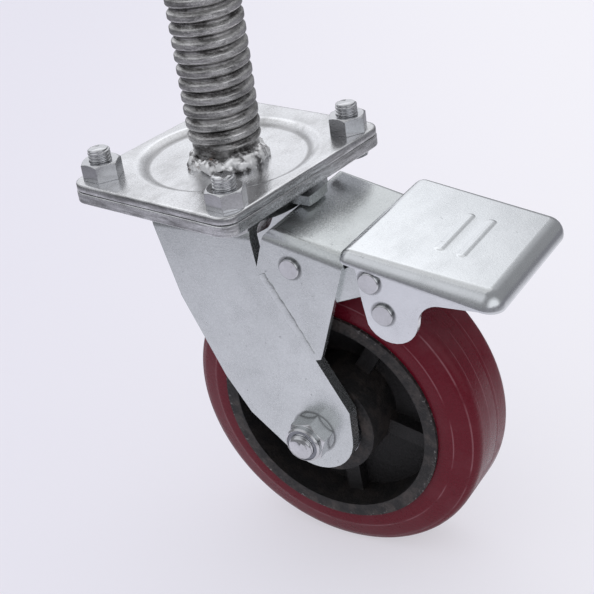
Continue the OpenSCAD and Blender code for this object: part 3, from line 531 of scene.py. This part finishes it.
def thread_tree():
    tree = bpy.data.node_groups.new("helical_thread", "GeometryNodeTree")
    tree.interface.new_socket("Geometry", in_out="INPUT", socket_type="NodeSocketGeometry")
    for name in thread_inputs:
        tree.interface.new_socket(name, in_out="INPUT", socket_type="NodeSocketFloat")
    tree.interface.new_socket("Rows", in_out="INPUT", socket_type="NodeSocketInt")
    tree.interface.new_socket("Columns", in_out="INPUT", socket_type="NodeSocketInt")
    tree.interface.new_socket("Turn", in_out="INPUT", socket_type="NodeSocketVector")
    tree.interface.new_socket("Finish", in_out="INPUT", socket_type="NodeSocketMaterial")
    tree.interface.new_socket("Geometry", in_out="OUTPUT", socket_type="NodeSocketGeometry")
    given = tree.nodes.new("NodeGroupInput").outputs
    want = {name: Field(given[name]) for name in given.keys() if name}
    grid = Field.node(tree, "GeometryNodeMeshGrid", {"Size X": 1.0, "Size Y": 1.0,
                                                     "Vertices X": want["Columns"],
                                                     "Vertices Y": want["Rows"]})
    at = Field.node(tree, "GeometryNodeInputPosition", {})
    turn_share = along(tree, at, 0) + 0.5
    row = (along(tree, at, 1) + 0.5) * (want["Rows"] - 1)
    share = (row - 1).ramp(0.0, want["Rows"] - 3, smooth=False)
    height = want["Foot"] + share * (want["Top"] - want["Foot"])
    phase = (height - want["Thread Start"]) / want["Pitch"] - turn_share + HELIX_START
    saw = phase.math("FRACT", phase)
    ridge = saw.math("ABSOLUTE", saw - 0.5) * 2
    fade = height.ramp(want["Thread Start"], want["Thread Start"] + want["Pitch"] * RUN_IN)
    fade = fade * height.ramp(want["Thread End"], want["Thread End"] - want["Pitch"] * RUN_OUT)
    plain = height.ramp(want["Thread End"], want["Thread End"] + want["Pitch"] * STEP_UP)
    radius = want["Root Radius"] + plain * (want["Plain Radius"] - want["Root Radius"])
    radius = radius + ridge.ramp(0.95, 0.3) * fade * want["Crest Height"]
    radius = radius - radius.math("MAXIMUM", height - want["Top"] + want["Chamfer"], 0.0)
    radius = radius * row.math("GREATER_THAN", row, 0.5) * row.math("LESS_THAN", row, want["Rows"] - 1.5)
    angle = turn_share * (2 * math.pi)
    bent = Field.node(tree, "ShaderNodeCombineXYZ", {0: radius * angle.math("COSINE", angle),
                                                     1: radius * angle.math("SINE", angle), 2: height})
    tube = Field.node(tree, "GeometryNodeSetPosition", {"Geometry": grid, "Position": bent})
    tube = Field.node(tree, "GeometryNodeMergeByDistance", {"Geometry": tube, "Distance": 1e-6})
    copies = Field.node(tree, "GeometryNodeInstanceOnPoints", {"Points": want["Geometry"], "Instance": tube,
                                                               "Rotation": want["Turn"]})
    solid = Field.node(tree, "GeometryNodeRealizeInstances", {"Geometry": copies})
    solid = Field.node(tree, "GeometryNodeSetShadeSmooth", {"Geometry": solid})
    solid = Field.node(tree, "GeometryNodeSetMaterial", {"Geometry": solid, "Material": want["Finish"]})
    tree.links.new(solid.socket, tree.nodes.new("NodeGroupOutput").inputs[0])
    return tree


helix = thread_tree()
print("thread tree nodes:", len(helix.nodes))


# %% Run a geometry tree into a plain mesh
CREASE_FROM = math.radians(50)


def in_metres(**sizes):
    """Named sizes in millimetres, as metres."""
    return {name: size * MM for name, size in sizes.items()}


def grown(tree, name, points, edges, **values):
    """Runs a geometry tree on some points and gives back a plain mesh."""
    seed = bpy.data.meshes.new(name + "_seed")
    seed.from_pydata([tuple(p) for p in points], edges, [])
    holder = bpy.data.objects.new(name + "_seed", seed)
    scene.collection.objects.link(holder)
    modifier = holder.modifiers.new("grow", "NODES")
    modifier.node_group = tree
    for item in tree.interface.items_tree:
        key = item.name.replace(" ", "_").lower()
        if item.in_out == "INPUT" and key in values:
            modifier[item.identifier] = values[key]
    mesh = bpy.data.meshes.new_from_object(holder.evaluated_get(bpy.context.evaluated_depsgraph_get()))
    mesh.name = name
    mesh.set_sharp_from_angle(angle=CREASE_FROM)
    holder.modifiers.remove(modifier)
    bpy.data.objects.remove(holder)
    return mesh


stem_sizes = in_metres(foot=1.4, top=129.4, thread_start=8.5, thread_end=93.9, root_radius=14.9,
                       crest_height=1.55, pitch=6.1, plain_radius=15.3, chamfer=2.0)
stem = grown(helix, "stem_thread", [spot(0, 0, 0)], [], rows=420, columns=97, finish=stem_steel,
             **stem_sizes)
stand_for(add_piece("stem_thread", stem, "screw_stem"), "screw_stem")
print("stem faces:", len(stem.polygons))

# %% [markdown]
# The plate bolts and the axle bolt keep the heads of their solids. The plate bolts' shanks and the axle's
# end beyond its nut are made again with a thread, so the copied solid is cut off where that starts and
# closed there.


# %% Thread the bolts
def cut_head(node, place, outward):
    """The part of a copied bolt on the outward side of a plane."""
    made = merged_copy(node)
    everything = made.verts[:] + made.edges[:] + made.faces[:]
    bmesh.ops.bisect_plane(made, geom=everything, plane_co=place, plane_no=outward, clear_inner=True)
    bmesh.ops.holes_fill(made, edges=[e for e in made.edges if e.is_boundary])
    return made


def joined(name, *meshes):
    made = bmesh.new()
    for mesh in meshes:
        made.from_mesh(mesh)
    whole = bpy.data.meshes.new(name)
    made.to_mesh(whole)
    made.free()
    return whole


plate_turn = math.radians(-7.6)
bolt_x, bolt_y, bolt_foot = 36.5, 42.7, -5.1
bolt_spots = []
for side_x in (-1, 1):
    for side_y in (-1, 1):
        x, y = bolt_x * side_x, bolt_y * side_y
        bolt_spots.append(spot(x * math.cos(plate_turn) - y * math.sin(plate_turn),
                               x * math.sin(plate_turn) + y * math.cos(plate_turn), bolt_foot))
bolt_sizes = in_metres(foot=0.0, top=22.5, thread_start=10.0, thread_end=25.0, root_radius=4.45,
                       crest_height=0.55, pitch=1.5, plain_radius=4.9, chamfer=0.9)
ends = grown(helix, "bolt_ends", bolt_spots, [], rows=150, columns=33, finish=fastener_zinc, **bolt_sizes)
heads = bevelled(cut_head("plate_bolts", spot(0, 0, -5), (0, 0, -1)), "bolt_heads", 0.25)
bolts = joined("plate_bolts_finish", ends, heads)
stand_for(add_piece("plate_bolts_finish", bolts, "plate_bolts"), "plate_bolts")
axle_sizes = in_metres(foot=0.0, top=6.0, thread_start=-3.0, thread_end=9.0, root_radius=5.3,
                       crest_height=0.65, pitch=1.75, plain_radius=6.0, chamfer=1.2)
axle_face = spot(TRAIL, -43, AXLE_Z)
tip = grown(helix, "axle_tip", [axle_face], [], rows=60, columns=49, finish=fastener_zinc,
            turn=(math.pi / 2, 0, 0), **axle_sizes)
shaft = bevelled(cut_head("axle_bolt", axle_face, (0, 1, 0)), "axle_shaft", 0.3)
stand_for(add_piece("axle_bolt_finish", joined("axle_bolt_finish", tip, shaft), "axle_bolt"), "axle_bolt")
print("threaded bolts:", len(bolt_spots) + 1)

# %% [markdown]
# ## Dished plate
# The upper plate is pressed: a round dish with soft slopes, and edges that the shears left uneven.
# A bevel cannot soften such a shallow slope, so the plate is made as rings of points. Inner rings
# are circles that follow the dish, and outer rings spread to the plate's outline.


# %% Press the plate
half_x, half_y, corner = 46.8, 55.2, 8.0
dish_rim, dish_slope, dish_depth = 42.4, 6.6, 2.6
last_circle = 44.2


def plate_edge(count):
    """Points round the plate's outline, with the unevenness of a sheared edge."""
    centres = [(half_x - corner, half_y - corner, 0), (corner - half_x, half_y - corner, 90),
               (corner - half_x, corner - half_y, 180), (half_x - corner, corner - half_y, 270)]
    corners = [(cx, cy, math.radians(start + a)) for cx, cy, start in centres for a in range(0, 91, 6)]
    path = [(cx + corner * math.cos(a), cy + corner * math.sin(a)) for cx, cy, a in corners]
    path = np.array(path + path[:1])
    run = np.concatenate([[0], np.cumsum(np.hypot(*np.diff(path, axis=0).T))])
    where = np.linspace(0, run[-1], count, endpoint=False)
    edge = np.stack([np.interp(where, run, path[:, 0]), np.interp(where, run, path[:, 1])], 1)
    wobble = [noise.noise(Vector((0.09 * x, 0.09 * y, 3.0))) - 0.6 for x, y in edge]
    return edge * (1 + 0.004 * np.array(wobble))[:, None]


def dish_drop(reach):
    """How far the sheet is pressed down at a distance from the middle."""
    share = min(1.0, max(0.0, (dish_rim - reach) / dish_slope))
    return dish_depth * share * share * (3 - 2 * share)


def pressed_plate(name, thick, around=320):
    edge = plate_edge(around)
    angle = np.arctan2(edge[:, 1], edge[:, 0])
    ring = np.stack([np.cos(angle), np.sin(angle)], 1)
    circles = [0.0, 12.0, 22.0, 28.0, 33.0, *np.arange(35.2, 43.0, 0.65), last_circle]
    rows = [(ring * reach, thick - dish_drop(reach)) for reach in circles]
    spread = [(0.35, 0.0), (0.7, 0.0), (0.9, 0.0), (0.965, -0.12), (0.99, -0.4), (1.0, -0.9)]
    rows += [(ring * last_circle * (1 - t) + edge * t, thick + drop) for t, drop in spread]
    rows += [(ring * last_circle * (1 - t) + edge * t, -drop) for t, drop in spread[::-1]]
    rows += [(ring * reach, -dish_drop(reach)) for reach in circles[::-1]]
    made = bmesh.new()
    turned = Matrix.Rotation(plate_turn, 3, "Z")
    grid = [[made.verts.new(turned @ spot(x, y, z)) for x, y in row] for row, z in rows]
    for low, high in zip(grid, grid[1:]):
        for i in range(around):
            j = (i + 1) % around
            made.faces.new((low[i], high[i], high[j], low[j]))
    bmesh.ops.remove_doubles(made, verts=made.verts, dist=1e-6)
    bmesh.ops.recalc_face_normals(made, faces=made.faces)
    mesh = bpy.data.meshes.new(name)
    made.to_mesh(mesh)
    made.free()
    mesh.shade_smooth()
    return mesh


plate = pressed_plate("stem_plate_finish", 4.0)
stand_for(add_piece("stem_plate_finish", plate, "stem_plate"), "stem_plate")
print("plate faces:", len(plate.polygons))

# %% [markdown]
# ## Welds
# A weld bead is a row of frozen puddles. A geometry tree sweeps a circle along a path and pushes its
# surface about with noise. It runs once round the stem's foot, and once down each seam where the
# brake housing is welded to a fork leg and then smoothed over by the plating.


# %% Build the bead tree
def bead_tree():
    tree = bpy.data.node_groups.new("weld_bead", "GeometryNodeTree")
    tree.interface.new_socket("Geometry", in_out="INPUT", socket_type="NodeSocketGeometry")
    for name in ("Bead Radius", "Lump Height", "Lump Size", "Spacing"):
        tree.interface.new_socket(name, in_out="INPUT", socket_type="NodeSocketFloat")
    tree.interface.new_socket("Flatten", in_out="INPUT", socket_type="NodeSocketVector")
    tree.interface.new_socket("Place", in_out="INPUT", socket_type="NodeSocketVector")
    tree.interface.new_socket("Finish", in_out="INPUT", socket_type="NodeSocketMaterial")
    tree.interface.new_socket("Geometry", in_out="OUTPUT", socket_type="NodeSocketGeometry")
    given = tree.nodes.new("NodeGroupInput").outputs
    want = {name: Field(given[name]) for name in given.keys() if name}
    path = Field.node(tree, "GeometryNodeMeshToCurve", {"Mesh": want["Geometry"]})
    path = Field.node(tree, "GeometryNodeResampleCurve", {"Curve": path, "Length": want["Spacing"]},
                      {"mode": "LENGTH"})
    circle = Field.node(tree, "GeometryNodeCurvePrimitiveCircle", {"Resolution": 20,
                                                                   "Radius": want["Bead Radius"]})
    bead = Field.node(tree, "GeometryNodeCurveToMesh", {"Curve": path, "Profile Curve": circle,
                                                        "Fill Caps": True})
    lumps = Field.node(tree, "ShaderNodeTexNoise", {"Scale": 1 / want["Lump Size"], "Detail": 4.0})
    out = Field.node(tree, "GeometryNodeInputNormal", {})
    push = Field.node(tree, "ShaderNodeVectorMath", {0: out, "Scale": (lumps - 0.5) * want["Lump Height"]},
                      {"operation": "SCALE"})
    bead = Field.node(tree, "GeometryNodeSetPosition", {"Geometry": bead, "Offset": push})
    at = Field.node(tree, "GeometryNodeInputPosition", {})
    flat = Field.node(tree, "ShaderNodeVectorMath", {0: at, 1: want["Flatten"]}, {"operation": "MULTIPLY"})
    flat = Field.node(tree, "ShaderNodeVectorMath", {0: flat, 1: want["Place"]}, {"operation": "ADD"})
    bead = Field.node(tree, "GeometryNodeSetPosition", {"Geometry": bead, "Position": flat})
    bead = Field.node(tree, "GeometryNodeRealizeInstances", {"Geometry": bead})
    bead = Field.node(tree, "GeometryNodeSetShadeSmooth", {"Geometry": bead})
    bead = Field.node(tree, "GeometryNodeSetMaterial", {"Geometry": bead, "Material": want["Finish"]})
    tree.links.new(bead.socket, tree.nodes.new("NodeGroupOutput").inputs[0])
    return tree


puddles = bead_tree()
weld_x, weld_y, weld_radius = 1.5, -1.5, 15.0
foot_ring = [Vector((weld_x + weld_radius * math.cos(a), weld_radius * math.sin(a) + weld_y, 0)) * MM
             for a in np.arange(0, 2 * math.pi, 0.05)]
foot_edges = [(i, (i + 1) % len(foot_ring)) for i in range(len(foot_ring))]
foot_sizes = in_metres(bead_radius=3.6, lump_height=11.5, lump_size=9.0, spacing=0.8)
foot_bead = grown(puddles, "stem_weld_finish", foot_ring, foot_edges, flatten=(1, 1, 1),
                  place=spot(0, 0, 3.4), finish=weld_steel, **foot_sizes)
stand_for(add_piece("stem_weld_finish", foot_bead, "stem_weld"), "stem_weld")
seam = [Vector((x, 0, z + PLATE_JOINT)) * MM for x, z in ((32.5, -35.5), (42.6, -53.7), (53.0, -72.5))]
seam_side = 34 * MM
seam_sizes = in_metres(bead_radius=2.2, lump_height=2.2, lump_size=7.0, spacing=0.7)
for side, word in ((-1, "near"), (1, "far")):
    smear = grown(puddles, "housing_seam_" + word, seam, [(0, 1), (1, 2)], flatten=(1, 0.16, 1),
                  place=(0, side * seam_side, 0), finish=fork_zinc, **seam_sizes)
    add_piece("housing_seam_" + word, smear, "brake_housing")
print("beads:", len(foot_bead.polygons), "faces at the stem")

# %% [markdown]
# ## Tyre
# The tyre is cast in a two-part mould: a flat tread, a round shoulder, a slanted band, a crease and a
# flat side. It is turned from a profile, as the mould was, with a hair-thin mould line round the tread.


# %% Turn the tyre
shoulder_radius, shoulder_side = 71.2, 12.4


def tyre_profile():
    """Half the section as radius and distance along the axle, from the rim's side out to the tread."""
    flat_side = [(56.2, 20.0), (57.2, 20.0), (60.0, 20.0), (62.2, 20.0)]
    crease = [(63.2, 19.9), (63.9, 19.62), (64.6, 19.42)]
    slant = [(66.5, 18.95), (68.5, 18.4), (70.2, 17.9), (71.6, 17.4)]
    shoulder = [(shoulder_radius + 3.8 * math.sin(a), shoulder_side + 4.6 * math.cos(a))
                for a in np.radians(np.arange(14, 91, 8))]
    tread = [(75.0, 10.0), (75.0, 6.0), (75.0, 3.6), (74.98, 3.1), (74.9, 2.85)]
    return flat_side + crease + slant + shoulder + tread


def turned_ring(name, section, around=224):
    made = bmesh.new()
    rows = []
    for i in range(around):
        a = 2 * math.pi * i / around
        turned = [spot(TRAIL + r * math.cos(a), y, AXLE_Z + r * math.sin(a)) for r, y in section]
        rows.append([made.verts.new(place) for place in turned])
    for i in range(around):
        here, there = rows[i], rows[(i + 1) % around]
        for j in range(len(section)):
            k = (j + 1) % len(section)
            made.faces.new((here[j], here[k], there[k], there[j]))
    bmesh.ops.recalc_face_normals(made, faces=made.faces)
    mesh = bpy.data.meshes.new(name)
    made.to_mesh(mesh)
    made.free()
    mesh.shade_smooth()
    mesh.set_sharp_from_angle(angle=CREASE_FROM)
    return mesh


half = tyre_profile()
far_side = half + [(74.97, 2.65), (74.97, 2.45), (75.0, 2.3)]
near_side = [(r, -y) for r, y in half if r < 74.95 or y > 3.4]
tyre = turned_ring("tyre_finish", far_side + near_side[::-1])
stand_for(add_piece("tyre_finish", tyre, "tyre"), "tyre")
print("tyre faces:", len(tyre.polygons))

# %% [markdown]
# ## Light and floor
# The castor stands on a pale floor in a pale room. Plated steel shows its surroundings more than it shows
# its own colour: level faces go white, and rolled edges pass through a dark band. An evenly white room
# would make it flat, so what mirrors see is dimmer, with four bright sides of at most white, and a floor
# that greys away from the castor. Matt faces and the camera get an even light. One broad lamp stands above,
# weak enough that its image in the pedal stays near white. The floor catches a soft shadow.


# %% Light the set
def soft_box(name, place, aim, size, power):
    lamp = bpy.data.lights.new(name, "AREA")
    lamp.shape = "DISK"
    lamp.size = size
    lamp.energy = power
    box = bpy.data.objects.new(name, lamp)
    scene.collection.objects.link(box)
    away = (Vector(aim) - Vector(place)).normalized()
    box.matrix_world = Matrix.Translation(place) @ away.to_track_quat("-Z", "Y").to_matrix().to_4x4()


middle = spot(40, 0, -80)
soft_box("key", middle + Vector((-0.35, 0.55, 1.35)), middle, size=1.8, power=3.2)

# %% Lay the floor
FLOOR_GAP = 0.0002
floor_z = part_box("tyre")[0].z
bpy.ops.mesh.primitive_plane_add(size=8, location=(0, 0, floor_z - FLOOR_GAP))
floor = bpy.context.object
floor.name = "floor"
material, tree, shader, place = new_finish("floor")
feed(tree, shader, base_color=colour(236, 234, 244), roughness=0.8 + cloud(tree, place, 0.4) * 0.1)
rays = tree.nodes.new("ShaderNodeLightPath").outputs
looked_at = sum(Field(rays[name]) for name in ("Is Camera Ray", "Is Glossy Ray", "Is Transmission Ray"))
beyond = radius_about(tree, place, (0, 0, 0), (1, 1, 0)).ramp(0.2, 0.65) * Field(rays["Is Glossy Ray"])
# Painted light: the floor's pale face brightens towards the right.
painted_light_rightwards = towards(tree, place, level_right)
pale = blend(tree, painted_light_rightwards.ramp(-0.3, 0.4), colour(232, 230, 240), colour(254, 253, 255))
pale = blend(tree, beyond, pale, colour(100, 100, 103))
paper = Field.node(tree, "ShaderNodeEmission", {"Color": pale, "Strength": 1.0})
paper_share = looked_at * (0.55 + beyond * 0.3)
sheet = Field.node(tree, "ShaderNodeMixShader", {0: paper_share, 1: Field(shader.outputs[0]), 2: paper})
tree.links.new(sheet.socket, tree.nodes["Material Output"].inputs[0])
floor.data.materials.append(material)
floor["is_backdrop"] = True
print("floor at, in mm:", round(floor_z / MM, 2))

# %% Surround the castor
DIM_ROOM, MATT_LIGHT = 0.3, 0.9
# Each bright side: its direction, the cosines where its glow starts and is full, and what it adds
bright_sides = (((-0.66, 0.6, 0.45), 0.8, 0.94, 0.7), ((-0.46, -0.5, 0.72), 0.75, 0.97, 0.5),
                ((0.89, -0.44, 0.14), 0.7, 0.95, 0.7), ((-0.05, 0.72, 0.69), 0.86, 0.99, 0.2))
world = bpy.data.worlds.new("studio")
world.use_nodes = True
scene.world = world
room = world.node_tree
sky = room.nodes["Background"]
sky.inputs[0].default_value = (0.95, 0.96, 1.0, 1)
rays = room.nodes.new("ShaderNodeLightPath").outputs
seen = Field(rays["Is Camera Ray"]) + Field(rays["Is Transmission Ray"])
mirrored = Field(rays["Is Glossy Ray"])
outward = Field.node(room, "ShaderNodeTexCoord", {})
glow = DIM_ROOM
for side, widest, narrowest, power in bright_sides:
    glow = glow + towards(room, outward, Vector(side).normalized()).ramp(widest, narrowest) * power
plain_room = MATT_LIGHT + seen * (1 - MATT_LIGHT)
strength = glow.ramp(0, 1, smooth=False) * mirrored + (1 - mirrored) * plain_room
room.links.new(strength.socket, sky.inputs[1])
print("bright sides:", len(bright_sides))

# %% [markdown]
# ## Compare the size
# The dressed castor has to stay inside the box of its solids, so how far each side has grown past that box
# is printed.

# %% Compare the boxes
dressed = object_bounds()
both = zip((*dressed[0], *dressed[1]), (*cad_box[0], *cad_box[1]))
print("grown by, in mm:", [round((d - c) * 1000, 2) for d, c in both])
